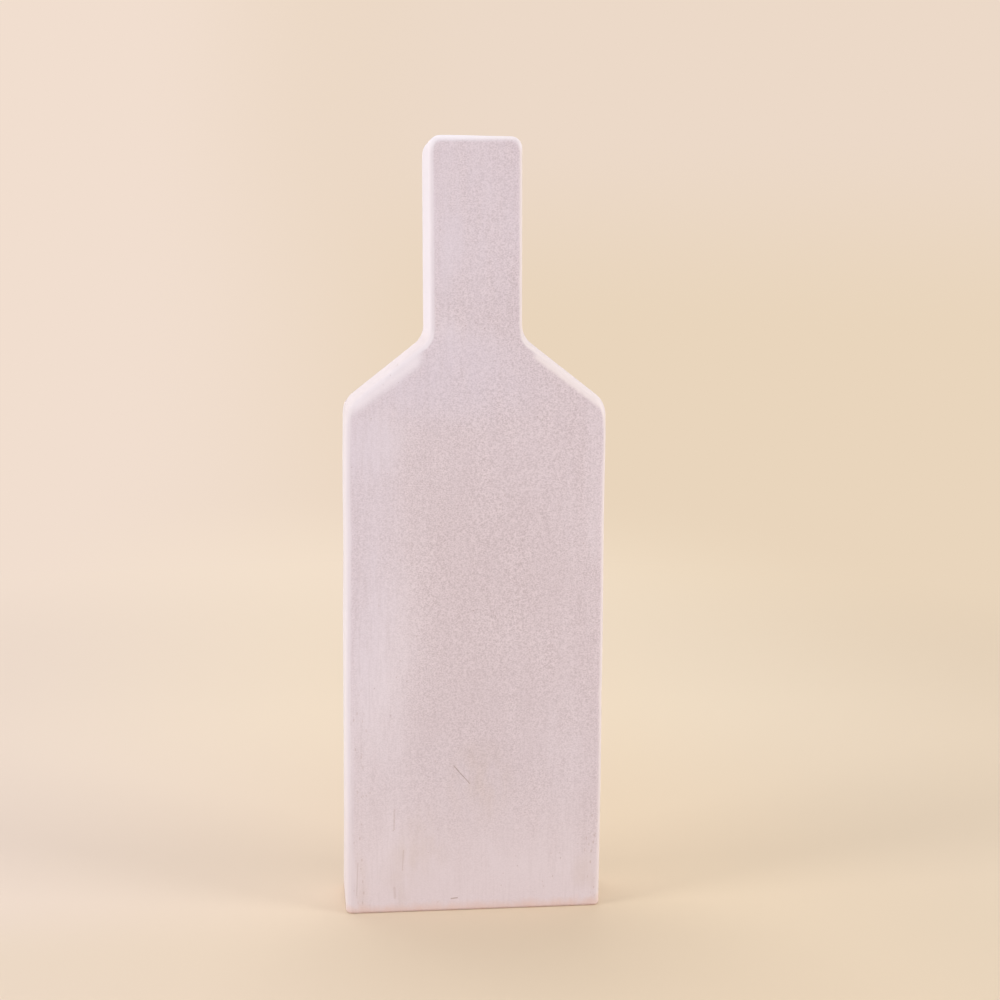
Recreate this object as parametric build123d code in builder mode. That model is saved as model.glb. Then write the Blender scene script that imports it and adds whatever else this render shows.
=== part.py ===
from build123d import *
import os

# Flat bottle vase, hand built from clay slabs.
#
# Millimetres, +Z up. The origin is on the table under the middle of the body, and the front faces -Y.
# Two bottle-shaped slabs stand face to face. Strips of clay on edge run between them round the
# outline, bevelled where two strips meet, and the mouth at the top of the neck is open.

# Driving dimensions
height = 300.0
body_width = 100.5
neck_width = 35.6
shoulder_height = 199.8
shoulder_rise = 25.2
neck_offset = -0.5

# Clay thicknesses and the clear depth between the slabs
slab_thickness = 5.0
wall_thickness = 5.0
base_thickness = 6.0
clear_depth = 26.0

# Corners of the outline, and the edges that the potter rolls over with a wet finger
shoulder_round = 9.5
neck_round = 9.0
mouth_round = 4.2
edge_round = 3.2
foot_round = 1.2
lip_bevel = 0.8
lip_bevel_angle = 45.0

# Coils of clay pressed into the inside seams
coil_size = 3.5
coil_round_share = 0.85

# How near a rounding may come to the far side of the clay that carries it
rounding_limit_share = 0.9
overrun = 1.0

rolled_round = min(
    edge_round,
    rounding_limit_share * (slab_thickness - lip_bevel),
    rounding_limit_share * mouth_round,
    rounding_limit_share * shoulder_round,
)
foot_rolled = min(foot_round, rounding_limit_share * rolled_round, rounding_limit_share * base_thickness)

# Sharp corners of the bottle outline, seen from the front: x, z
neck_foot_height = shoulder_height + shoulder_rise
foot_left = Vector(-body_width / 2, 0)
foot_right = Vector(body_width / 2, 0)
shoulder_left = Vector(-body_width / 2, shoulder_height)
shoulder_right = Vector(body_width / 2, shoulder_height)
neck_left = Vector(neck_offset - neck_width / 2, neck_foot_height)
neck_right = Vector(neck_offset + neck_width / 2, neck_foot_height)
mouth_left = Vector(neck_offset - neck_width / 2, height)
mouth_right = Vector(neck_offset + neck_width / 2, height)

# The outline, clockwise from the left foot, so the inside lies to the right of every side
corners = [foot_left, shoulder_left, neck_left, mouth_left, mouth_right, neck_right, shoulder_right, foot_right]

# The sides of the outline in the same order, each named for the clay that closes it
sides = ["left_side", "left_shoulder", "left_neck", "mouth", "right_neck", "right_shoulder", "right_side", "base"]
mouth_side = sides.index("mouth")
thickness_of_side = [wall_thickness] * len(sides)
thickness_of_side[sides.index("base")] = base_thickness
thickness_of_side[mouth_side] = 0.0

os.makedirs("parts", exist_ok=True)


def direction(side):
    """Unit vector along a side of the outline, from its first corner to its second."""
    return (corners[(side + 1) % len(corners)] - corners[side]).normalized()


def inward(side):
    """Unit vector square to a side of the outline, into the vase."""
    along = direction(side)
    return Vector(along.Y, -along.X)


def parallel_corner(number, depth_before, depth_after):
    """Where the two sides that meet at an outline corner cross once each is moved inward by its depth."""
    before = number - 1
    cosine = inward(before).dot(inward(number))
    square = 1 - cosine * cosine
    share_before = (depth_before - depth_after * cosine) / square
    share_after = (depth_after - depth_before * cosine) / square
    return corners[number] + inward(before) * share_before + inward(number) * share_after


def inside_corner(number, proud=0.0):
    """Corner on the inner faces of the clay at an outline corner, or standing proud of them."""
    before = number - 1
    depth_before = thickness_of_side[before] + (0 if before == mouth_side else proud)
    depth_after = thickness_of_side[number] + (0 if number == mouth_side else proud)
    return parallel_corner(number, depth_before, depth_after)


def outside_corner(number):
    """Corner outside the outline, on the same bevel line, past the clay that fills a neck corner."""
    return parallel_corner(number, -thickness_of_side[number - 1], -thickness_of_side[number])


def outline_sketch(foot_radius):
    """The bottle seen from the front, its corners rounded pair by pair from the mouth down to the foot."""
    rounds_upward = [foot_radius, shoulder_round, neck_round, mouth_round]
    with BuildSketch() as outline:
        with BuildLine():
            Polyline(*corners, close=True)
        make_face()
        for level in reversed(range(len(rounds_upward))):
            if rounds_upward[level] > 0:
                fillet(outline.vertices().group_by(Axis.Y)[level], rounds_upward[level])
    return outline.sketch_local


slab_outline = outline_sketch(0)
strip_outline = outline_sketch(foot_rolled)

# The wedge of clay that a wet finger takes off the inner edge of the mouth
with BuildPart() as mouth_bevel:
    with BuildSketch(Plane.XY.offset(height - lip_bevel)):
        with Locations((neck_offset, 0)):
            Rectangle(neck_width - 2 * wall_thickness, clear_depth)
    extrude(amount=lip_bevel + overrun, taper=-lip_bevel_angle)

# Front slab, its inner face on the strips and its outline rolled over from the foot up
with BuildPart() as front_slab:
    with BuildSketch(Plane.XZ.offset(clear_depth / 2)):
        add(slab_outline)
    extrude(amount=slab_thickness)
    face_edges = front_slab.faces().sort_by(Axis.Y)[0].edges().sort_by(Axis.Z)
    fillet(face_edges[1:], rolled_round)
    foot_edges = front_slab.faces().sort_by(Axis.Z)[0].edges().sort_by(Axis.Y)
    fillet(foot_edges[:-1], foot_rolled)
    add(mouth_bevel.part, mode=Mode.SUBTRACT)
front_slab.part.label = "front_slab"
export_step(front_slab.part, "parts/front_slab.step")

# Back slab, cut round the same template
with BuildPart() as back_slab:
    mirror(front_slab.part, about=Plane.XZ)
back_slab.part.label = "back_slab"
export_step(back_slab.part, "parts/back_slab.step")


def wall_strip(name, side_name):
    """Strip of clay on edge between the slabs, bevelled to its neighbours at both ends."""
    first = sides.index(side_name)
    second = (first + 1) % len(corners)
    with BuildPart() as strip:
        with BuildSketch(Plane.XZ.offset(-clear_depth / 2)):
            with BuildLine():
                Polyline(
                    outside_corner(first),
                    outside_corner(second),
                    inside_corner(second),
                    inside_corner(first),
                    close=True,
                )
            make_face()
            add(strip_outline, mode=Mode.INTERSECT)
        extrude(amount=clear_depth)
        if mouth_side in (first - 1, second):
            add(mouth_bevel.part, mode=Mode.SUBTRACT)
    strip.part.label = name
    export_step(strip.part, f"parts/{name}.step")
    return strip.part


def seam_coil(name, side_name):
    """Coil pressed into the seam between the back slab and one strip, bevelled at its ends."""
    first = sides.index(side_name)
    second = (first + 1) % len(corners)
    with BuildPart() as coil:
        with BuildSketch(Plane.XZ.offset(coil_size - clear_depth / 2)):
            with BuildLine():
                Polyline(
                    inside_corner(first),
                    inside_corner(second),
                    inside_corner(second, coil_size),
                    inside_corner(first, coil_size),
                    close=True,
                )
            make_face()
        extrude(amount=-coil_size)
        along = Axis(origin=(0, 0, 0), direction=(direction(first).X, 0, direction(first).Y))
        across = Axis(origin=(0, 0, 0), direction=(inward(first).X, 0, inward(first).Y))
        free_edge = coil.edges().filter_by(along).group_by(across)[-1].sort_by(Axis.Y)[0]
        fillet(free_edge, coil_round_share * coil_size)
    coil.part.label = name
    export_step(coil.part, f"parts/{name}.step")
    return coil.part


def corner_coil(name, corner):
    """Short coil pressed into the inside corner of two strips, from the front slab to the seam coils."""
    number = corners.index(corner)
    root = inside_corner(number)
    tip = inside_corner(number, coil_size)
    reach = (tip - root).dot(direction(number))
    with BuildPart() as coil:
        with BuildSketch(Plane.XZ.offset(clear_depth / 2)):
            with BuildLine():
                Polyline(root, root - direction(number - 1) * reach, tip, root + direction(number) * reach, close=True)
            make_face()
        extrude(amount=coil_size - clear_depth)
        free_edge = coil.edges().filter_by(Axis.Y).sort_by_distance(Vector(tip.X, 0, tip.Y))[0]
        fillet(free_edge, coil_round_share * min(coil_size, reach))
    coil.part.label = name
    export_step(coil.part, f"parts/{name}.step")
    return coil.part


left_side_wall = wall_strip("left_side_wall", "left_side")
right_side_wall = wall_strip("right_side_wall", "right_side")
left_shoulder_wall = wall_strip("left_shoulder_wall", "left_shoulder")
right_shoulder_wall = wall_strip("right_shoulder_wall", "right_shoulder")
left_neck_wall = wall_strip("left_neck_wall", "left_neck")
right_neck_wall = wall_strip("right_neck_wall", "right_neck")
base_strip = wall_strip("base_strip", "base")

base_seam_coil = seam_coil("base_seam_coil", "base")
left_side_seam_coil = seam_coil("left_side_seam_coil", "left_side")
right_side_seam_coil = seam_coil("right_side_seam_coil", "right_side")
left_shoulder_seam_coil = seam_coil("left_shoulder_seam_coil", "left_shoulder")
right_shoulder_seam_coil = seam_coil("right_shoulder_seam_coil", "right_shoulder")

left_foot_corner_coil = corner_coil("left_foot_corner_coil", foot_left)
right_foot_corner_coil = corner_coil("right_foot_corner_coil", foot_right)
left_shoulder_corner_coil = corner_coil("left_shoulder_corner_coil", shoulder_left)
right_shoulder_corner_coil = corner_coil("right_shoulder_corner_coil", shoulder_right)
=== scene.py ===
from math import acos, cos, pi, radians, sin

import bmesh
import bpy
from mathutils import Euler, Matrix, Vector, noise


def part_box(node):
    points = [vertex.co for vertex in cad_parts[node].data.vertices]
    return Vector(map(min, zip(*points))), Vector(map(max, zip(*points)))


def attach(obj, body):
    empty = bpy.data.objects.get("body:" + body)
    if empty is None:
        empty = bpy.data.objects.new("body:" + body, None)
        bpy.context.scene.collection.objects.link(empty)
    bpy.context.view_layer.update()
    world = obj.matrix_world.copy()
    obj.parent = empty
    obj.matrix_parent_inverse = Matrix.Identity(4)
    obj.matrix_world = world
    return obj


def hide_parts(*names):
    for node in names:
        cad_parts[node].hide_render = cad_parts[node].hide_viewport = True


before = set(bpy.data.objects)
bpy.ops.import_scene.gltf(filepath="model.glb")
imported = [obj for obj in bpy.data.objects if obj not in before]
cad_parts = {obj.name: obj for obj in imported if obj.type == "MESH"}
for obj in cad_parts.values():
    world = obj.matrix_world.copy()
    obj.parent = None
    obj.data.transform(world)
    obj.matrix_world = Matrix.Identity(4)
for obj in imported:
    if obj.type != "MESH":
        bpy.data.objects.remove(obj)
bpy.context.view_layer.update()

# A flat bottle vase joined from clay slabs and brushed with pale slip over red-brown clay.
# Metres, +Z up, the front towards -Y, the origin on the table under the middle of the body.

MM = 0.001

# Sizes read from the packed clay
FRONT_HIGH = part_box("front_slab")[1]
BACK_LOW, BACK_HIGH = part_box("back_slab")
NECK_LEFT_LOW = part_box("left_neck_wall")[0]
NECK_RIGHT_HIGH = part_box("right_neck_wall")[1]
SIDE_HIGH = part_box("left_side_wall")[1]
HALF_BODY = FRONT_HIGH.x
HALF_DEPTH = BACK_HIGH.y
JOINT_Y = BACK_LOW.y
VASE_TOP = FRONT_HIGH.z
SHOULDER_Z = SIDE_HIGH.z
NECK_FOOT_Z = NECK_LEFT_LOW.z
NECK_MIDDLE = (NECK_LEFT_LOW.x + NECK_RIGHT_HIGH.x) / 2
HALF_NECK = (NECK_RIGHT_HIGH.x - NECK_LEFT_LOW.x) / 2

# The same sizes in millimetres, in which the finishes are laid out
HALF_BODY_MM = HALF_BODY / MM
HALF_NECK_MM = HALF_NECK / MM
JOINT_MM = JOINT_Y / MM
TOP_MM = VASE_TOP / MM
SHOULDER_MM = SHOULDER_Z / MM
NECK_FOOT_MM = NECK_FOOT_Z / MM
SHOULDER_SLOPE = (NECK_FOOT_MM - SHOULDER_MM) / (HALF_BODY_MM - HALF_NECK_MM)

SLIPPED_CLAY = [
    "front_slab", "back_slab", "left_side_wall", "right_side_wall", "left_shoulder_wall",
    "right_shoulder_wall", "left_neck_wall", "right_neck_wall",
]
SEAM_COILS = [
    "base_seam_coil", "left_side_seam_coil", "right_side_seam_coil", "left_shoulder_seam_coil",
    "right_shoulder_seam_coil", "left_foot_corner_coil", "right_foot_corner_coil",
    "left_shoulder_corner_coil", "right_shoulder_corner_coil",
]


# Shader sums

class Wire:
    """A shader socket that can stand in a sum: each operator adds the Math node that it needs."""

    def __init__(self, finish, socket):
        self.finish = finish
        self.socket = socket

    def math(self, operation, first, second):
        return self.finish.node("ShaderNodeMath", {"operation": operation}, {0: first, 1: second})

    def __add__(self, other):
        return self.math("ADD", self, other)

    def __radd__(self, other):
        return self.math("ADD", other, self)

    def __sub__(self, other):
        return self.math("SUBTRACT", self, other)

    def __rsub__(self, other):
        return self.math("SUBTRACT", other, self)

    def __mul__(self, other):
        return self.math("MULTIPLY", self, other)

    def __rmul__(self, other):
        return self.math("MULTIPLY", other, self)

    def __truediv__(self, other):
        return self.math("DIVIDE", self, other)

    def __rtruediv__(self, other):
        return self.math("DIVIDE", other, self)

    def __abs__(self):
        return self.math("ABSOLUTE", self, 0.0)

    def least(self, other):
        return self.math("MINIMUM", self, other)

    def most(self, other):
        return self.math("MAXIMUM", self, other)


# The sockets of a Mix node that is set to colours: its share, its two colours and what it gives
MIX_SHARE, MIX_FIRST, MIX_SECOND, MIX_COLOUR = 0, 6, 7, 2


class Finish:
    """One material, built from nodes. Patterns are laid out in millimetres."""

    def __init__(self, name):
        self.material = bpy.data.materials.new(name)
        self.material.use_nodes = True
        self.tree = self.material.node_tree
        self.tree.nodes.clear()
        place = self.node("ShaderNodeTexCoord", output="Object")
        self.place = self.node("ShaderNodeVectorMath", {"operation": "SCALE"}, {0: place, "Scale": 1 / MM})
        self.x, self.y, self.z = [
            self.node("ShaderNodeSeparateXYZ", sockets={0: self.place}, output=axis) for axis in "XYZ"
        ]

    def node(self, kind, settings=None, sockets=None, output=0):
        """Adds one node: its settings first, then the values or wires of its sockets."""
        made = self.tree.nodes.new(kind)
        for name, value in (settings or {}).items():
            setattr(made, name, value)
        for name, value in (sockets or {}).items():
            if isinstance(value, Wire):
                self.tree.links.new(value.socket, made.inputs[name])
            else:
                made.inputs[name].default_value = value
        return Wire(self, made.outputs[output])

    def stretched(self, stretch):
        """The pattern's coordinates, times a factor along each axis: below 1 draws the pattern out."""
        if stretch is None:
            return self.place
        return self.node("ShaderNodeVectorMath", {"operation": "MULTIPLY"}, {0: self.place, 1: stretch})

    def cloud(self, size, stretch=None, detail=2.0, roughness=0.5):
        """Soft noise from 0 to 1, whose features are about size millimetres across."""
        sockets = {
            "Vector": self.stretched(stretch),
            "Scale": 1 / size,
            "Detail": detail,
            "Roughness": roughness,
        }
        return self.node("ShaderNodeTexNoise", sockets=sockets, output="Fac")

    def cells(self, size, stretch=None):
        """Distance to the nearest of scattered points, in shares of size millimetres."""
        sockets = {"Vector": self.stretched(stretch), "Scale": 1 / size}
        return self.node("ShaderNodeTexVoronoi", sockets=sockets, output="Distance")

    def step(self, value, low, high):
        """Rises smoothly from 0 where value is low to 1 where it is high."""
        sockets = {"Value": value, "From Min": low, "From Max": high}
        return self.node("ShaderNodeMapRange", {"interpolation_type": "SMOOTHSTEP"}, sockets)

    def blend(self, share, first, second):
        """Mixes two colours: share 0 is the first, 1 the second."""
        sockets = {MIX_SHARE: share, MIX_FIRST: first, MIX_SECOND: second}
        return self.node("ShaderNodeMix", {"data_type": "RGBA"}, sockets, output=MIX_COLOUR)

    def coated(self, ground, coats):
        """A ground colour with further colours over it in order, each as dense as its share."""
        for share, tone in coats:
            ground = self.blend(share, ground, tone)
        return ground

    def patch(self, x, z, half_width, half_height, strength):
        """A soft oval patch on the broad faces: full at its middle, 0 at its edge and past it."""
        across = (self.x - x) / half_width
        upright = (self.z - z) / half_height
        return (1 - self.step(across * across + upright * upright, 0.0, 1.0)) * strength

    def patches(self, places):
        """The sum of several patches."""
        total = 0.0
        for place in places:
            total = self.patch(*place) + total
        return total

    def relief(self, height):
        """The surface's normals over a height in millimetres."""
        return self.node("ShaderNodeBump", sockets={"Height": height * MM, "Strength": 1.0, "Distance": 1.0})

    def surface(self, shade, roughness, height, specular):
        """A clay or paper surface of one colour, roughness and relief."""
        sockets = {
            "Base Color": shade,
            "Roughness": roughness,
            "Normal": self.relief(height),
            "Specular IOR Level": specular,
        }
        return self.node("ShaderNodeBsdfPrincipled", sockets=sockets)

    def ended(self, surface):
        """Joins the surface to the material's output and gives the material."""
        made = self.tree.nodes.new("ShaderNodeOutputMaterial")
        self.tree.links.new(surface.socket, made.inputs["Surface"])
        return self.material


def colour(red, green, blue):
    """An 8-bit display colour as the linear colour that a shader takes."""
    def linear(value):
        share = value / 255
        return share / 12.92 if share <= 0.04045 else ((share + 0.055) / 1.055) ** 2.4
    return (linear(red), linear(green), linear(blue), 1.0)


# Clay and slip

THICK_SLIP = colour(236, 223, 229)
THIN_SLIP = colour(212, 194, 198)
# Lilac slip in patches, also used as painted cool light towards the top
LILAC_SLIP_AND_COOL_LIGHT = colour(213, 202, 221)
# Edge and shoulder colours: white slip with painted highlight, warm on the right edges
LEFT_EDGE_SLIP_AND_HIGHLIGHT = colour(243, 233, 236)
RIGHT_EDGE_SLIP_AND_HIGHLIGHT = colour(237, 223, 220)
NECK_EDGE_SLIP_AND_HIGHLIGHT = colour(246, 238, 245)
SHOULDER_SLIP_AND_HIGHLIGHT = colour(237, 225, 227)
LEFT_SHOULDER_ROLL = colour(243, 233, 240)
RIGHT_SHOULDER_ROLL = colour(248, 236, 236)
# Painted shade across the left rolled edge, darker where it turns from the face
ROLL_PAINTED_SHADE = colour(231, 220, 227)
RUBBED_SLIP = colour(186, 166, 169)
LIGHT_GRIT = colour(240, 224, 228)
WARM_STAIN = colour(208, 186, 172)
# Painted warm bounce from the floor, low on the vase
FOOT_TINT = colour(226, 200, 189)
FOOT_BLUSH = colour(230, 194, 178)
FOOT_LINE = colour(238, 184, 152)
FIRED_CLAY = colour(158, 112, 88)
DARK_CLAY = colour(112, 74, 58)
INNER_CLAY = colour(150, 108, 88)

# Patches on the broad faces: x, z, half width, half height, strength
# Where the brush left more slip
HEAVY_STROKES = [
    (-48, 124, 38, 90, 0.46),
    (-41, 100, 20, 36, 0.14),
    (-40, 34, 26, 60, 0.26),
    (-44, 194, 30, 30, 0.34),
    (46, 172, 6, 42, 0.30),
    (-8, 211, 34, 26, 0.36),
    (-4, 274, 28, 54, 0.40),
    (-14, 250, 10, 60, 0.16),
    (36, 60, 16, 40, 0.16),
    (0, 20, 60, 44, 0.30),
    (44, 12, 14, 30, 0.20),
]

# Where it was brushed thin
THIN_STROKES = [
    (2, 136, 40, 46, 0.16),
    (-1, 238, 17, 14, 0.14),
    (0, 84, 30, 26, 0.08),
]

# Where the slip has a lilac cast
LILAC_PLACES = [
    (-50, 150, 26, 90, 0.24),
    (-10, 208, 44, 22, 0.30),
]

# Warm stains low on the front
WARM_PLACES = [
    (2, 52, 16, 20, 0.24),
    (-20, 26, 12, 20, 0.24),
    (-29, 14, 9, 18, 0.24),
    (-46, 12, 6, 16, 0.24),
    (45, 13, 8, 12, 0.24),
]

# Specks of bare clay along the lower borders
SPECKED_PLACES = [
    (-46, 34, 7, 80, 0.30),
    (47, 16, 6, 40, 0.30),
]

# The slanting scratch and the nicks on the front: x, z, lean in degrees, length, width, strength
SCRATCHES = [
    (-5.2, 54.6, -41, 9.6, 0.17, 1.0),
    (-31.6, 37.6, 1, 8.0, 0.46, 0.36),
    (-28.2, 21.0, 3, 8.0, 0.30, 0.42),
    (-31.4, 8.0, -4, 4.0, 0.70, 0.32),
    (-46.0, 14.0, 2, 13.0, 0.32, 0.40),
    (-8.0, 5.0, 84, 2.4, 0.30, 1.0),
]

# How far in front of the vase's middle a scratch starts to show and shows in full, in millimetres
FRONT_DEPTHS = (0.0, 10.0)

# Patterns in the slip: size, and the factor along each axis
GRIT_SIZE, GRIT_STRETCH = 0.54, (0.86, 0.86, 1.1)
DAB_SIZE = 1.2
BRISTLE_SIZE, BRISTLE_STRETCH = 0.8, (1.0, 1.0, 0.07)
STROKE_SIZE, STROKE_STRETCH = 3.4, (1.0, 1.0, 0.08)
MOTTLE_SIZE, MOTTLE_STRETCH = 20.0, (1.0, 1.0, 0.6)
STAIN_SIZE, STAIN_STRETCH = 7.0, (1.0, 1.0, 0.4)
WAVER_SIZE, WAVER_STRETCH = 2.2, (1.0, 1.0, 0.3)
FOOT_EDGE_SIZE, FOOT_EDGE_STRETCH = 4.0, (1.0, 1.0, 0.5)
SPECK_SPACING, SPECK_STRETCH = 1.7, (1.0, 1.0, 0.5)
PIT_SPACING = 3.4
GRIT_IN_STIPPLE, DABS_IN_STIPPLE = 0.74, 0.26

# Where a pattern starts to show and where it shows in full, in the pattern's own values
STIPPLE_RANGE = (0.25, 0.75)
BRISTLE_RANGE = (0.45, 0.75)
STAIN_RANGE = (0.3, 0.7)
SPECK_STAIN_RANGE = (0.36, 0.56)
PIT_MOTTLE_RANGE = (0.42, 0.6)
THICK_COVER_RANGE = (0.42, 1.20)

# How far out a speck or pit starts to fade and ends, in shares of their spacing
SPECK_RADII = (0.10, 0.26)
PIT_RADII = (0.03, 0.08)

# Places on the vase: where each starts and where it has set in fully, in millimetres
RIGHT_OF_MIDDLE = (-12.0, 14.0)
NEAR_SIDES = (18.0, 48.0)
SHOULDER_STARTS = (SHOULDER_MM - 8, SHOULDER_MM)
SHOULDER_ENDS = (NECK_FOOT_MM, NECK_FOOT_MM + 6)
NECK_STARTS = (NECK_FOOT_MM - 8, NECK_FOOT_MM + 12)
LIP_STARTS = (TOP_MM - 7, TOP_MM - 3)
BESIDE_NECK = (HALF_NECK_MM + 0.5, HALF_NECK_MM + 5.0)
ABOVE_FOOT_COAT = (2.0, 42.0)
# Heights over which the painted warm bounce from the floor fades
ABOVE_FOOT_TINT = (4.0, 64.0)
ABOVE_POOL = (24.0, 90.0)
COARSE_HEIGHTS = (60.0, 120.0)
# Heights over which painted cool light turns the slip lilac towards the top
LILAC_HEIGHTS = (110.0, 280.0)

# How thick the slip lies, from 0 to 1, and how much the patterns change it
USUAL_COVER = 0.34
MOTTLE_IN_COVER = 0.46
STROKES_IN_COVER, STROKES_NEAR_SIDES, STROKES_ON_NECK = 0.22, 0.16, 0.16
FOOT_COAT = 0.42

# The white on the edges is white slip and, in part, painted highlight
# The turn from the broad face, 1 being square to it, at which an edge starts to whiten, and how
# much further it turns until it is white: on the left, and what is added at the other places
RIM_START = {"left": 0.18, "right": 0.09, "shoulder": -0.10, "right_shoulder": -0.09, "lip": -0.17}
RIM_REACH = {"left": 0.24, "right": 0.10, "shoulder": -0.04, "right_shoulder": -0.08, "lip": 0.16}
RIM_WAVER = 0.08
RIM_COVERS, RIM_STIPPLE = 0.96, 0.10

# White slip that the brush carried on below the shoulder edges, and that pooled low on the left:
# where it starts to thin out and where it ends, in millimetres from the edge
LEFT_CARRIED, RIGHT_CARRIED = (3.2, 7.0), (2.0, 4.0)
CARRIED_WAVER, CARRIED_STRENGTH = 6.0, 0.9
POOLED, POOLED_WAVER, POOLED_STRENGTH = (2.2, 3.8), 4.0, 0.6

# Turns at which the colours of the edges change, and the painted shade across the left rolled edge, lifted
# along a thin line
SHOULDER_TURN = (0.25, 0.85)
ROLL_TURN = (0.40, 0.94)
BRIGHT_LINE_STARTS, BRIGHT_LINE_ENDS, BRIGHT_LINE = (0.20, 0.28), (0.32, 0.44), 0.35
SHOULDER_EDGE = 0.9

# How coarse the grit shows, and what smooths it
THICK_SMOOTHS, RIM_SMOOTHS = 0.8, 0.75
COARSE_LOW, COARSE_HIGHER_UP, STAIN_IN_COARSE = 0.78, 0.24, 0.9

# How dense each coat of colour is
LILAC_ABOVE = 0.39
RUBBED_GRIT = 0.53
LIT_GRIT = 0.54
BRISTLE_LINES, BRISTLES_NEAR_SIDES = 0.08, 0.06
PIT_SHARE = 0.35
TINTED_FOOT = 0.22
BLUSHED_FOOT = 0.62
FOOT_LINE_SHARE = 0.6
NICK_SHARE = 0.45

# The foot's blush and the line where the slip was wiped off, and how far each waves up and down
BLUSH_HEIGHTS, BLUSH_WAVES = (0.2, 5.0), 5.0
WIPED_HEIGHTS, WIPED_WAVES = (0.05, 0.55), 0.9

# Relief of the slip in millimetres, and its roughness
STIPPLE_HEIGHT = 0.045
BRISTLE_HEIGHT = 0.015
STROKE_HEIGHT = 0.05
PIT_DEPTH = 0.2
NICK_DEPTH = 0.15
WIPED_DEPTH = 0.06
SLIP_ROUGHNESS, COVER_POLISH, STIPPLE_ROUGHNESS = 0.86, 0.08, 0.04
SLIP_SPECULAR = 0.25


class BrushedSlip(Finish):
    """Pale slip over darker clay: stippled where thin, smooth where thick, whitest on the edges, with
    painted highlight there.
    """

    def __init__(self):
        super().__init__("brushed_slip")
        self.turned = self.node("ShaderNodeAttribute", {"attribute_name": "turned"}, output="Fac")
        self.find_places()
        self.lay_patterns()
        self.cover = self.thickness()
        self.rim = self.white_rim()
        self.coarse = self.coarseness()

    def find_places(self):
        """Soft masks of the places on the vase."""
        self.right = self.step(self.x, *RIGHT_OF_MIDDLE)
        self.beside = self.step(abs(self.x), *NEAR_SIDES)
        self.shoulder = self.step(self.z, *SHOULDER_STARTS) - self.step(self.z, *SHOULDER_ENDS)
        self.on_neck = self.step(self.z, *NECK_STARTS)
        self.lip = self.step(self.z, *LIP_STARTS)

    def lay_patterns(self):
        """The marks of the brush, the grit and the clay under the slip."""
        grit = self.cloud(GRIT_SIZE, GRIT_STRETCH, detail=1.0)
        grain = grit * GRIT_IN_STIPPLE + self.cloud(DAB_SIZE) * DABS_IN_STIPPLE
        self.stipple = self.step(grain, *STIPPLE_RANGE)
        self.bristles = self.cloud(BRISTLE_SIZE, BRISTLE_STRETCH)
        self.strokes = self.cloud(STROKE_SIZE, STROKE_STRETCH, detail=3.0)
        self.mottle = self.cloud(MOTTLE_SIZE, MOTTLE_STRETCH, detail=3.0)
        self.stain = self.cloud(STAIN_SIZE, STAIN_STRETCH, detail=3.0)
        self.waver = (self.cloud(WAVER_SIZE, WAVER_STRETCH) - 0.5) * RIM_WAVER
        self.foot_edge = self.cloud(FOOT_EDGE_SIZE, FOOT_EDGE_STRETCH, detail=3.0) - 0.5
        self.pits = 1 - self.step(self.cells(PIT_SPACING), *PIT_RADII)
        self.pits = self.pits * self.step(self.mottle, *PIT_MOTTLE_RANGE)
        self.wiped = 1 - self.step(self.z - self.foot_edge * WIPED_WAVES, *WIPED_HEIGHTS)
        self.nicks = 0.0
        for x, z, lean, length, width, strength in SCRATCHES:
            self.nicks = (self.scratch(x, z, lean, length, width) * strength).most(self.nicks)

    def scratch(self, x, z, lean, length, width):
        """A short line on the front face, upright or leaning: 1 along it, 0 beside it."""
        along_x, along_z = sin(radians(lean)), cos(radians(lean))
        run = (self.x - x) * along_x + (self.z - z) * along_z
        past = (abs(run) - length / 2).most(0.0)
        side = (self.x - x) * along_z - (self.z - z) * along_x
        reach = side * side + past * past
        return (1 - self.step(reach, 0.0, width * width)) * self.step(0 - self.y, *FRONT_DEPTHS)

    def thickness(self):
        """How thick the slip lies: 0 thin, 1 thick."""
        swing = STROKES_IN_COVER + self.beside * STROKES_NEAR_SIDES + self.on_neck * STROKES_ON_NECK
        cover = USUAL_COVER + (self.mottle - 0.5) * MOTTLE_IN_COVER + (self.strokes - 0.5) * swing
        cover = cover + self.patches(HEAVY_STROKES) - self.patches(THIN_STROKES)
        cover = cover + (1 - self.step(self.z, *ABOVE_FOOT_COAT)) * FOOT_COAT
        return cover.most(0.0).least(1.0)

    def by_place(self, amounts):
        """An amount that differs from the left to the right, on the shoulders and on the lip."""
        on_shoulder = amounts["shoulder"] + self.right * amounts["right_shoulder"]
        amount = amounts["left"] + self.right * amounts["right"] + self.shoulder * on_shoulder
        return amount + self.lip * amounts["lip"]

    def white_rim(self):
        """How white the edge is, with slip and painted highlight: on the rolled edges, below the shoulders'
        and low on the left.
        """
        start = self.by_place(RIM_START)
        rim = self.step(self.turned + self.waver, start, start + self.by_place(RIM_REACH))
        above = self.z - SHOULDER_MM - (HALF_BODY_MM - abs(self.x)) * SHOULDER_SLOPE
        below = self.waver * CARRIED_WAVER - above * (1 + SHOULDER_SLOPE ** 2) ** -0.5
        borders = zip(LEFT_CARRIED, RIGHT_CARRIED)
        thins, ends = [left + self.right * (right - left) for left, right in borders]
        carried = (1 - self.step(below, thins, ends)) * self.step(abs(self.x), *BESIDE_NECK)
        inset = self.x + HALF_BODY_MM + self.waver * POOLED_WAVER
        pooled = (1 - self.step(inset, *POOLED)) * (1 - self.step(self.z, *ABOVE_POOL))
        return rim.most(carried * CARRIED_STRENGTH).most(pooled * POOLED_STRENGTH)

    def coarseness(self):
        """How strongly the grit shows."""
        thick = self.step(self.cover, *THICK_COVER_RANGE)
        smoothed = (1 - thick * THICK_SMOOTHS) * (1 - self.rim * RIM_SMOOTHS)
        higher_up = self.step(self.z, *COARSE_HEIGHTS) * COARSE_HIGHER_UP
        return smoothed * (COARSE_LOW + higher_up + (self.stain - 0.5) * STAIN_IN_COARSE)

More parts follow.
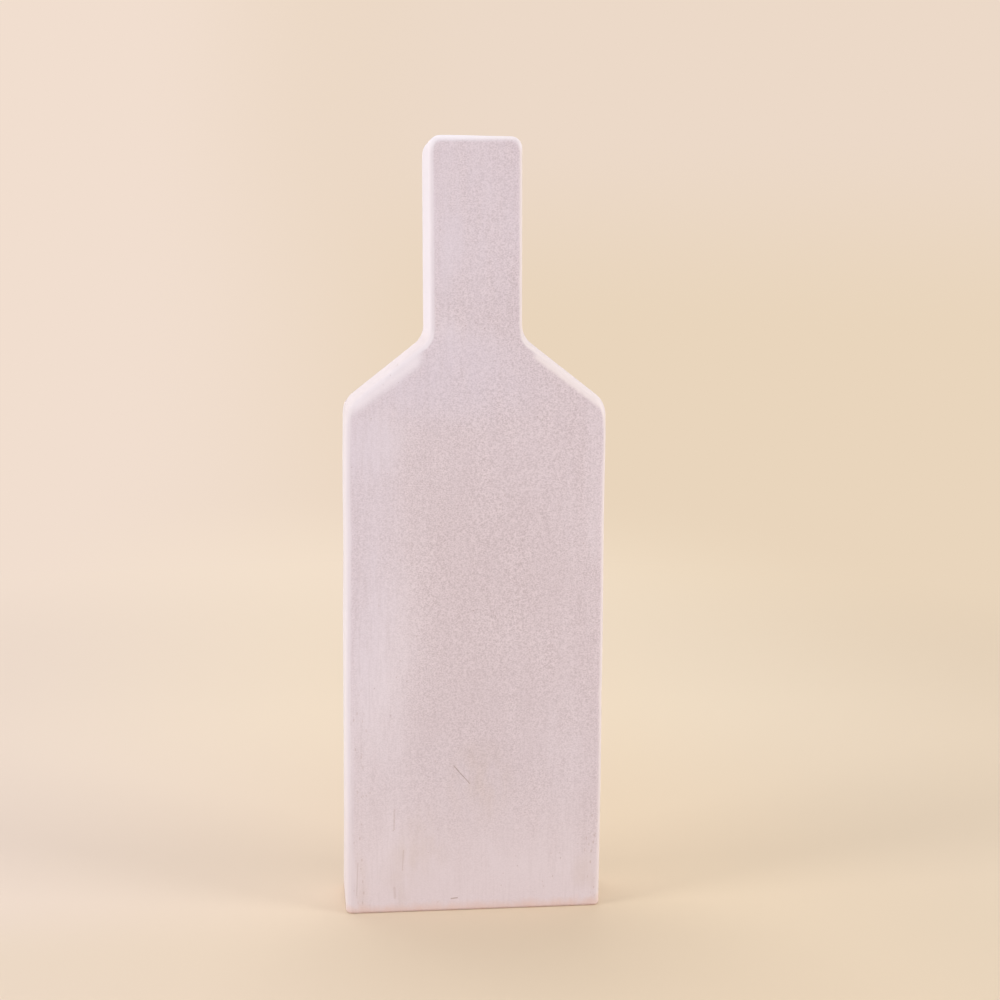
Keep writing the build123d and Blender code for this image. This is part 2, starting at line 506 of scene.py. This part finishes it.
    def edge_shade(self):
        """The colour of the whitened edges, slip with painted highlight and painted shade across the left
        roll, which differs from edge to edge.
        """
        roll = self.blend(self.right, LEFT_SHOULDER_ROLL, RIGHT_SHOULDER_ROLL)
        roll = self.blend(self.step(self.turned, *SHOULDER_TURN), roll, SHOULDER_SLIP_AND_HIGHLIGHT)
        # Painted shade across the left rolled edge, lifted along a thin painted highlight
        bright_line = self.step(self.turned, *BRIGHT_LINE_STARTS)
        bright_line = bright_line * (1 - self.step(self.turned, *BRIGHT_LINE_ENDS))
        rolled = 1 - self.step(self.turned, *ROLL_TURN) - bright_line * BRIGHT_LINE
        rolled = rolled * (1 - self.right) * (1 - self.shoulder) * (1 - self.lip)
        return self.coated(LEFT_EDGE_SLIP_AND_HIGHLIGHT, [
            (self.right * (1 - self.lip), RIGHT_EDGE_SLIP_AND_HIGHLIGHT),
            (self.on_neck * (1 - self.right), NECK_EDGE_SLIP_AND_HIGHLIGHT),
            (self.shoulder * SHOULDER_EDGE, roll),
            (rolled.most(0.0), ROLL_PAINTED_SHADE),
        ])

    def shade(self):
        """The slip's colour, from the ground coat to the marks of use."""
        lilac_places = [(self.patch(*place), LILAC_SLIP_AND_COOL_LIGHT) for place in LILAC_PLACES]
        bristle_lines = BRISTLE_LINES + self.beside * BRISTLES_NEAR_SIDES
        specks = 1 - self.step(self.cells(SPECK_SPACING, SPECK_STRETCH), *SPECK_RADII)
        specks = specks * self.step(self.stain, *SPECK_STAIN_RANGE) * self.patches(SPECKED_PLACES)
        blush = 1 - self.step(self.z - self.foot_edge * BLUSH_WAVES, *BLUSH_HEIGHTS)
        return self.coated(THIN_SLIP, [
            (self.cover, THICK_SLIP),
            # Painted light: the slip cooler towards the top, away from the floor's warm bounce
            (self.step(self.z, *LILAC_HEIGHTS) * LILAC_ABOVE, LILAC_SLIP_AND_COOL_LIGHT),
            *lilac_places,
            ((1 - self.stipple) * self.coarse * RUBBED_GRIT, RUBBED_SLIP),
            (self.stipple * self.coarse * LIT_GRIT, LIGHT_GRIT),
            (self.step(self.bristles, *BRISTLE_RANGE) * bristle_lines, RUBBED_SLIP),
            (self.step(self.stain, *STAIN_RANGE) * self.patches(WARM_PLACES), WARM_STAIN),
            (specks, FIRED_CLAY),
            # White slip and painted highlight on the edges
            (self.rim * (RIM_COVERS - (1 - self.stipple) * RIM_STIPPLE), self.edge_shade()),
            (self.pits * PIT_SHARE, FIRED_CLAY),
            # Painted warm bounce from the floor on the lowest part
            ((1 - self.step(self.z, *ABOVE_FOOT_TINT)) * TINTED_FOOT, FOOT_TINT),
            (blush * BLUSHED_FOOT, FOOT_BLUSH),
            (self.wiped * FOOT_LINE_SHARE, FOOT_LINE),
            (self.nicks * NICK_SHARE, FIRED_CLAY),
        ])

    def height(self):
        """The relief of the slip in millimetres."""
        raised = self.stipple * self.coarse * STIPPLE_HEIGHT
        raised = raised + self.bristles * BRISTLE_HEIGHT + self.strokes * STROKE_HEIGHT
        return raised - self.pits * PIT_DEPTH - self.nicks * NICK_DEPTH - self.wiped * WIPED_DEPTH

    def made(self):
        """The whole material."""
        roughness = SLIP_ROUGHNESS - self.cover * COVER_POLISH + self.stipple * STIPPLE_ROUGHNESS
        return self.ended(self.surface(self.shade(), roughness, self.height(), SLIP_SPECULAR))


# Bare clay: patterns, and the slip that ran down inside the neck
CLAY_GRIT_SIZE = 0.7
CLAY_TONE_SIZE = 14.0
DRAG_SIZE, DRAG_STRETCH = 1.6, (1.0, 1.0, 0.12)
CLAY_TONE_RANGE, CLAY_TONE_STRENGTH = (0.3, 0.7), 0.5
DARK_GRIT_RANGE, DARK_GRIT_STRENGTH = (0.55, 0.75), 0.5
RUN_HEIGHTS, RUN_WAVES = (TOP_MM - 34.0, TOP_MM - 12.0), 26.0
RUN_COVERS, RUN_GRIT_RANGE, RUN_GRIT = 0.95, (0.5, 0.8), 0.4
SEAM_WIDTHS, SEAM_HEIGHTS, SEAM_SHARE, SEAM_DEPTH = (0.05, 0.35), (0.3, 0.8), 0.5, 0.15
CLAY_GRIT_HEIGHT, DRAG_HEIGHT = 0.12, 0.10
CLAY_ROUGHNESS, CLAY_GRIT_POLISH, CLAY_SPECULAR = 0.9, 0.05, 0.2


def raw_clay():
    """Unglazed fired clay inside the vase and under its foot."""
    clay = Finish("inner_clay")
    grit = clay.cloud(CLAY_GRIT_SIZE, detail=4.0, roughness=0.7)
    tone = clay.cloud(CLAY_TONE_SIZE, detail=3.0)
    drag = clay.cloud(DRAG_SIZE, DRAG_STRETCH)
    run_down = clay.step(clay.z - (drag - 0.5) * RUN_WAVES, *RUN_HEIGHTS)
    seam = 1 - clay.step(abs(abs(clay.y) - JOINT_MM), *SEAM_WIDTHS)
    seam = seam * (1 - clay.step(clay.z, *SEAM_HEIGHTS))
    shade = clay.coated(INNER_CLAY, [
        (clay.step(tone, *CLAY_TONE_RANGE) * CLAY_TONE_STRENGTH, FIRED_CLAY),
        (clay.step(grit, *DARK_GRIT_RANGE) * DARK_GRIT_STRENGTH, DARK_CLAY),
        (run_down * (RUN_COVERS - clay.step(grit, *RUN_GRIT_RANGE) * RUN_GRIT), THIN_SLIP),
        (seam * SEAM_SHARE, DARK_CLAY),
    ])
    height = grit * CLAY_GRIT_HEIGHT + drag * DRAG_HEIGHT - seam * SEAM_DEPTH
    roughness = CLAY_ROUGHNESS - grit * CLAY_GRIT_POLISH
    return clay.ended(clay.surface(shade, roughness, height, CLAY_SPECULAR))


# Clay worked by hand

# The spacing of the lattice that every piece is cut on, the distance below which two points are
# one, the turn below which two faces are one flat face, and the turn above which an edge is sharp
LATTICE_STEP = 1.6 * MM
WELD = 0.5 * MM * MM
FLAT_ANGLE = radians(0.02)
SHARP_ANGLE = radians(32)

# Where the hand left the sides a little inside the template: height, millimetres lost
LEFT_SWELLS = [(0, 0.0), (28, 0.15), (75, 0.05), (108, 0.0), (140, 0.2), (172, 0.0), (196, 0.15), (300, 0.0)]
RIGHT_SWELLS = [(0, 0.2), (20, 0.1), (50, 0.0), (92, 0.05), (112, 0.0), (155, 0.2), (196, 0.0), (300, 0.0)]

# How far the neck leans to the left at its lip
NECK_LEAN = 0.6 * MM

# How far the left shoulder stands lower, where the drop starts and over what height it sets in,
# and over what height it fades out up the neck
SHOULDER_DROP = 0.8 * MM
DROP_START, DROP_RISE, DROP_FADE = SHOULDER_Z - 50 * MM, 25 * MM, 20 * MM

# How far the broad faces sink in, over what height above the foot that sets in, and the long and
# the short wave of noise in it: how fast they change along x, how far apart they take the two
# faces, and how fast they change along z
FACE_SINK = 0.45 * MM
SINK_RISE = 6 * MM
LONG_WAVE, SHORT_WAVE, SHORT_STRENGTH = (28, 4, 18), (90, 9, 70), 0.15

# How far the lip sinks, from what share of the vase's height up and over what share that sets in,
# and how fast its noise changes, at a level of its own
LIP_SINK = 0.15 * MM
LIP_STARTS_SHARE, LIP_RISE_SHARE = 0.72, 0.28
LIP_WAVE, LIP_PLACE = 60, 3

# Soft knocks that round a corner or an edge: middle, push and reach along each axis, all in millimetres
KNOCKS = [
    ((-17, 0, 299), (0.10, 0.0, -0.10), (7, 60, 7)),
    ((-17, -18, 299), (0.10, 0.20, -0.05), (7, 7, 7)),
    ((16, -18, 299), (-0.05, 0.15, -0.05), (6, 6, 6)),
    ((-17, 18, 299), (0.25, -0.20, -0.25), (7, 7, 7)),
    ((-50, -18, 199), (0.25, 0.30, -0.20), (10, 8, 12)),
    ((50, -17, 196), (-0.20, 0.30, -0.20), (8, 8, 9)),
    ((50, 18, 120), (-0.35, -0.35, 0.0), (6, 6, 12)),
    ((-50, 18, 60), (0.35, -0.30, 0.0), (6, 6, 10)),
    ((50, -18, 84), (-0.20, 0.30, 0.0), (5, 5, 9)),
    ((-50, -18, 150), (0.15, 0.30, 0.0), (5, 5, 12)),
    ((6, 18, 300), (0.0, -0.35, -0.30), (8, 6, 6)),
]


def clamped(share):
    """The share, kept from 0 to 1."""
    return min(1.0, max(0.0, share))


def eased(share):
    """Turns a share from 0 to 1 into one that starts and ends gently."""
    share = clamped(share)
    return share * share * (3 - 2 * share)


def swell(table, z):
    """The millimetres lost at a height, eased between the heights of the table."""
    for (low, lost_low), (high, lost_high) in zip(table, table[1:]):
        if z <= high:
            return lost_low + (lost_high - lost_low) * eased((z - low) / (high - low))
    return table[-1][1]


def face_wave(x, z, face, wave):
    """One wave in a broad face, from -1 to 1. The face is 1 for the back and -1 for the front."""
    across, apart, upright = wave
    return noise.noise(Vector((x * across, face * apart, z * upright)))


def knocked(moved, place):
    """Pushes a moved point on by the soft knocks that reach its place in the template's clay."""
    for middle_mm, push_mm, reach_mm in KNOCKS:
        away = Vector([(place[axis] / MM - middle_mm[axis]) / reach_mm[axis] for axis in range(3)]).length
        if away < 1:
            moved += Vector(push_mm) * MM * (1 - away * away) ** 2
    return moved


def worked(place):
    """Where a point of the template's clay ends up once the vase has been handled.

    It depends on the place alone, so pieces that meet face to face still meet, and the vase stays
    in the box of its template.
    """
    x, y, z = place
    middle = NECK_MIDDLE * eased((z - SHOULDER_Z) / (NECK_FOOT_Z - SHOULDER_Z))
    right_share = eased((x - middle) / (2 * HALF_NECK) + 0.5)
    lost = swell(LEFT_SWELLS, z / MM) * (1 - right_share) + swell(RIGHT_SWELLS, z / MM) * right_share
    half = HALF_BODY if z < SHOULDER_Z else HALF_NECK
    lean = NECK_LEAN * max(0.0, (z - NECK_FOOT_Z) / (VASE_TOP - NECK_FOOT_Z))
    moved_x = x - (x - middle) / half * lost * MM - lean
    face = 1.0 if y > 0 else -1.0
    ripple = 0.5 + 0.5 * face_wave(x, z, face, LONG_WAVE)
    ripple += SHORT_STRENGTH * face_wave(x, z, face, SHORT_WAVE)
    sink = FACE_SINK * clamped(ripple) * eased(z / SINK_RISE)
    moved_y = y - y / HALF_DEPTH * sink
    drop = eased((z - DROP_START) / DROP_RISE) * (1 - eased((z - NECK_FOOT_Z) / DROP_FADE))
    drop *= SHOULDER_DROP * (1 - right_share)
    lip = 0.5 + 0.5 * noise.noise(Vector((x * LIP_WAVE, y * LIP_WAVE, LIP_PLACE)))
    lip = LIP_SINK * clamped(lip) * eased((z / VASE_TOP - LIP_STARTS_SHARE) / LIP_RISE_SHARE)
    return knocked(Vector((moved_x, moved_y, z - drop - lip)), place)


def lattice(low, high):
    """Evenly spaced places between two bounds, the same for every piece."""
    first = int(low / LATTICE_STEP) - 1
    last = int(high / LATTICE_STEP) + 1
    places = [(number + 0.5) * LATTICE_STEP for number in range(first, last + 1)]
    return [place for place in places if low < place < high]


def sliced_clay(node):
    """A copy of a template piece, welded and cut on the shared lattice, still in its exact shape."""
    clay = bmesh.new()
    clay.from_mesh(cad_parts[node].data)
    bmesh.ops.remove_doubles(clay, verts=clay.verts, dist=WELD)
    bmesh.ops.dissolve_limit(clay, angle_limit=FLAT_ANGLE, verts=clay.verts, edges=clay.edges)
    low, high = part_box(node)
    for axis, across in enumerate(((1, 0, 0), (0, 1, 0), (0, 0, 1))):
        for place in lattice(low[axis], high[axis]):
            everything = clay.verts[:] + clay.edges[:] + clay.faces[:]
            point = Vector(across) * place
            bmesh.ops.bisect_plane(clay, geom=everything, dist=WELD / 4, plane_co=point, plane_no=across)
    return clay


def faces_outward(face):
    """Whether a face looks away from the upright line through the middle of the body or neck."""
    centre = face.calc_center_median()
    middle = NECK_MIDDLE if centre.z > NECK_FOOT_Z else 0.0
    away = Vector((centre.x - middle, centre.y, 0))
    return away.dot(face.normal) > -WELD


def turned(normal):
    """How far a surface is turned away from the broad faces: 0 on them, 1 square to them."""
    return acos(min(1.0, abs(normal.y))) / (pi / 2)


def worked_piece(node, outside, inside):
    """One clay piece of the vase, worked by hand, that stands for its template piece."""
    clay = sliced_clay(node)
    clay.normal_update()
    turned_layer = clay.verts.layers.float.new("turned")
    for face in clay.faces:
        face.material_index = 0 if faces_outward(face) else 1
        face.smooth = True
    for vertex in clay.verts:
        outer = [face.normal for face in vertex.link_faces if face.material_index == 0]
        if outer:
            vertex[turned_layer] = sum(turned(normal) for normal in outer) / len(outer)
    for vertex in clay.verts:
        vertex.co = worked(vertex.co)
    mesh = bpy.data.meshes.new(node + "_worked")
    clay.to_mesh(mesh)
    clay.free()
    mesh.materials.append(outside)
    mesh.materials.append(inside)
    mesh.set_sharp_from_angle(angle=SHARP_ANGLE)
    piece = bpy.data.objects.new(node + "_worked", mesh)
    bpy.context.collection.objects.link(piece)
    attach(piece, "root")
    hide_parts(node)
    return piece


# Camera: its place in metres and its turns in degrees. The focal length is in pixels of the
# photograph, and nothing nearer than NEAREST_SEEN, in metres, is drawn.

CAMERA_PLACE = Vector((-70.4, -657.4, 236.8)) * MM
CAMERA_DOWN = 6.58
CAMERA_TURN = 7.07
CAMERA_TILT = 0.44
FOCAL_PIXELS = 1691.0
PHOTO_PIXELS = 1000
SENSOR_MM = 36.0
NEAREST_SEEN = 0.01


def camera():
    """The photograph's viewpoint: a little left of the front, at the height of the neck."""
    lens = bpy.data.cameras.new("camera")
    lens.sensor_width = SENSOR_MM
    lens.lens = SENSOR_MM * FOCAL_PIXELS / PHOTO_PIXELS
    lens.clip_start = NEAREST_SEEN
    body = bpy.data.objects.new("camera", lens)
    body.location = CAMERA_PLACE
    turn = Euler((radians(90 - CAMERA_DOWN), 0, radians(-CAMERA_TURN)), "XYZ").to_matrix()
    tilt = Euler((0, 0, radians(CAMERA_TILT)), "XYZ").to_matrix()
    body.rotation_euler = (turn @ tilt).to_euler()
    bpy.context.collection.objects.link(body)
    bpy.context.scene.camera = body


# Paper cove, in metres

COVE_RING = 0.4
COVE_FLOOR = 1.6
COVE_BEND = 0.9
COVE_TOP = 1.3
COVE_SIDES = 96
BEND_STEPS = 20


def paper_cove():
    """A round cove of cream paper: a level floor that bends up to a low wall all round."""
    profile = [(0.0, 0.0), (COVE_RING, 0.0), (COVE_FLOOR, 0.0)]
    for number in range(1, BEND_STEPS + 1):
        turn = number / BEND_STEPS * pi / 2
        profile.append((COVE_FLOOR + COVE_BEND * sin(turn), COVE_BEND * (1 - cos(turn))))
    profile.append((COVE_FLOOR + COVE_BEND, COVE_TOP))
    paper = bmesh.new()
    line = [paper.verts.new((out, 0, up)) for out, up in profile]
    edges = [paper.edges.new(pair) for pair in zip(line, line[1:])]
    bmesh.ops.spin(paper, geom=line + edges, axis=(0, 0, 1), cent=(0, 0, 0), angle=2 * pi, steps=COVE_SIDES)
    bmesh.ops.remove_doubles(paper, verts=paper.verts, dist=WELD)
    bmesh.ops.recalc_face_normals(paper, faces=paper.faces)
    for face in paper.faces:
        face.smooth = True
    mesh = bpy.data.meshes.new("paper_cove")
    paper.to_mesh(mesh)
    paper.free()
    mesh.materials.append(cream_paper())
    cove = bpy.data.objects.new("paper_cove", mesh)
    bpy.context.collection.objects.link(cove)


# Paper tones with painted light: lighter and cooler to the left, and lighter higher up the wall
PAPER_LEFT = colour(241, 222, 207)
PAPER_RIGHT = colour(233, 213, 188)
PAPER_TOP = colour(236, 217, 200)
FLOOR_LEFT = colour(233, 215, 202)
FLOOR_RIGHT = colour(233, 212, 186)
# Painted shade on the floor towards the right corner
FLOOR_CORNER = colour(228, 209, 186)
# Painted shade on the floor in front of the vase
FLOOR_NEAR = colour(223, 205, 181)
# A painted pool of light on the paper behind the vase
PAPER_GLOW = colour(255, 238, 214)
PAPER_BOUNCE = colour(228, 223, 217)

# Where the paper's tones, painted light and shade included, change: where a change starts and where it is
# complete, in millimetres
WALL_ACROSS = (-350.0, 300.0)
WALL_HEIGHTS = (180.0, 560.0)
FLOOR_ACROSS = (-260.0, 80.0)
# Where the painted shade towards the right corner sets in
FLOOR_CORNER_ACROSS = (70.0, 230.0)
# Where the painted shade in front of the vase sets in
FLOOR_NEARER = (-20.0, 60.0)
FAR_OFF = (250.0, 900.0)
# Where the painted pool of light behind the vase lies
GLOW_STARTS, GLOW_ENDS = (60.0, 340.0), (500.0, 1500.0)
GLOW_MIDDLE, GLOW_WIDTHS = 50.0, (80.0, 420.0)

NEARER_STRENGTH = 0.45
GLOW_STRENGTH = 0.4
FIBRE_SIZE, FIBRE_HEIGHT = 3.0, 0.02
PAPER_ROUGHNESS, PAPER_SPECULAR = 0.9, 0.1

# How much of the paper's light is an even glow, which near the vase thins its shadow by that share: near,
# and far
EVEN_NEAR, EVEN_FAR = 0.25, 1.0


def cream_paper():
    """Matte cream paper, painted lighter and cooler on the left and with more painted light and shade, which
    shows soft shadows round the vase.

    Only the camera and mirror rays see its cream: it throws nearly neutral light back at the vase.
    """
    paper = Finish("cream_paper")
    seen = paper.node("ShaderNodeLightPath", output="Is Camera Ray")
    seen = seen.most(paper.node("ShaderNodeLightPath", output="Is Glossy Ray"))
    seen = seen.most(paper.node("ShaderNodeLightPath", output="Is Transmission Ray"))
    # Painted light: the paper lighter and cooler to the left, and higher up the wall
    across = paper.step(paper.x, *WALL_ACROSS)
    wall = paper.coated(PAPER_LEFT, [
        (across, PAPER_RIGHT),
        (paper.step(paper.z, *WALL_HEIGHTS) * across, PAPER_TOP),
    ])
    floor = paper.coated(FLOOR_LEFT, [
        (paper.step(paper.x, *FLOOR_ACROSS), FLOOR_RIGHT),
        # Painted shade towards the right corner
        (paper.step(paper.x, *FLOOR_CORNER_ACROSS), FLOOR_CORNER),
        # Painted shade in front of the vase
        (paper.step(0 - paper.y, *FLOOR_NEARER) * NEARER_STRENGTH, FLOOR_NEAR),
    ])
    away = paper.node("ShaderNodeVectorMath", {"operation": "LENGTH"}, {0: paper.place}, output="Value")
    far = paper.step(away, *FAR_OFF)
    # Painted pool of light behind the vase
    glow = paper.step(paper.y, *GLOW_STARTS) * (1 - paper.step(paper.y, *GLOW_ENDS))
    glow = glow * (1 - paper.step(abs(paper.x - GLOW_MIDDLE), *GLOW_WIDTHS))
    cream = paper.coated(floor, [(far, wall), (glow * GLOW_STRENGTH, PAPER_GLOW)])
    shade = paper.blend(seen, PAPER_BOUNCE, cream)
    fibre = paper.cloud(FIBRE_SIZE) * FIBRE_HEIGHT
    lit = paper.surface(shade, PAPER_ROUGHNESS, fibre, PAPER_SPECULAR)
    even = paper.node("ShaderNodeEmission", sockets={"Color": cream, "Strength": 1.0})
    share = (EVEN_NEAR + far * (EVEN_FAR - EVEN_NEAR)) * seen
    return paper.ended(paper.node("ShaderNodeMixShader", sockets={0: share, 1: lit, 2: even}))


# Lamps: name, place, width and height, watts
LAMPS = [
    ("left_panel", (-1.16, -0.38, 0.60), (0.5, 0.8), 7.8),
    ("right_panel", (1.09, -0.55, 0.55), (0.55, 0.8), 7.8),
    ("front_fill", (-0.15, -1.75, 0.65), (1.2, 0.8), 2.0),
    ("top_lamp", (-0.10, 0.52, 1.60), (0.9, 0.7), 9.0),
]
LAMP_AIM = Vector((0, 0, 0.15))
SKY_STRENGTH = 0.43


def soft_light(name, place, size, watts):
    """A large soft lamp that looks at the middle of the vase, out of every picture."""
    lamp = bpy.data.lights.new(name, "AREA")
    lamp.shape = "RECTANGLE"
    lamp.size, lamp.size_y = size
    lamp.energy = watts
    holder = bpy.data.objects.new(name, lamp)
    holder.location = place
    holder.rotation_euler = (LAMP_AIM - Vector(place)).to_track_quat("-Z", "Y").to_euler()
    holder.visible_camera = False
    bpy.context.collection.objects.link(holder)


def room():
    """Soft panels left and right in front of the vase, a weak fill, a lamp overhead, an even sky."""
    for name, place, size, watts in LAMPS:
        soft_light(name, place, size, watts)
    world = bpy.data.worlds.new("room")
    world.use_nodes = True
    sky = world.node_tree.nodes["Background"]
    sky.inputs["Color"].default_value = (1.0, 1.0, 1.0, 1)
    sky.inputs["Strength"].default_value = SKY_STRENGTH
    bpy.context.scene.world = world


camera()
room()
paper_cove()

slip_finish = BrushedSlip().made()
inner_finish = raw_clay()
for clay_name in SLIPPED_CLAY:
    worked_piece(clay_name, slip_finish, inner_finish)
worked_piece("base_strip", inner_finish, inner_finish)
for coil_name in SEAM_COILS:
    worked_piece(coil_name, inner_finish, inner_finish)

bpy.context.scene.view_settings.view_transform = "Standard"
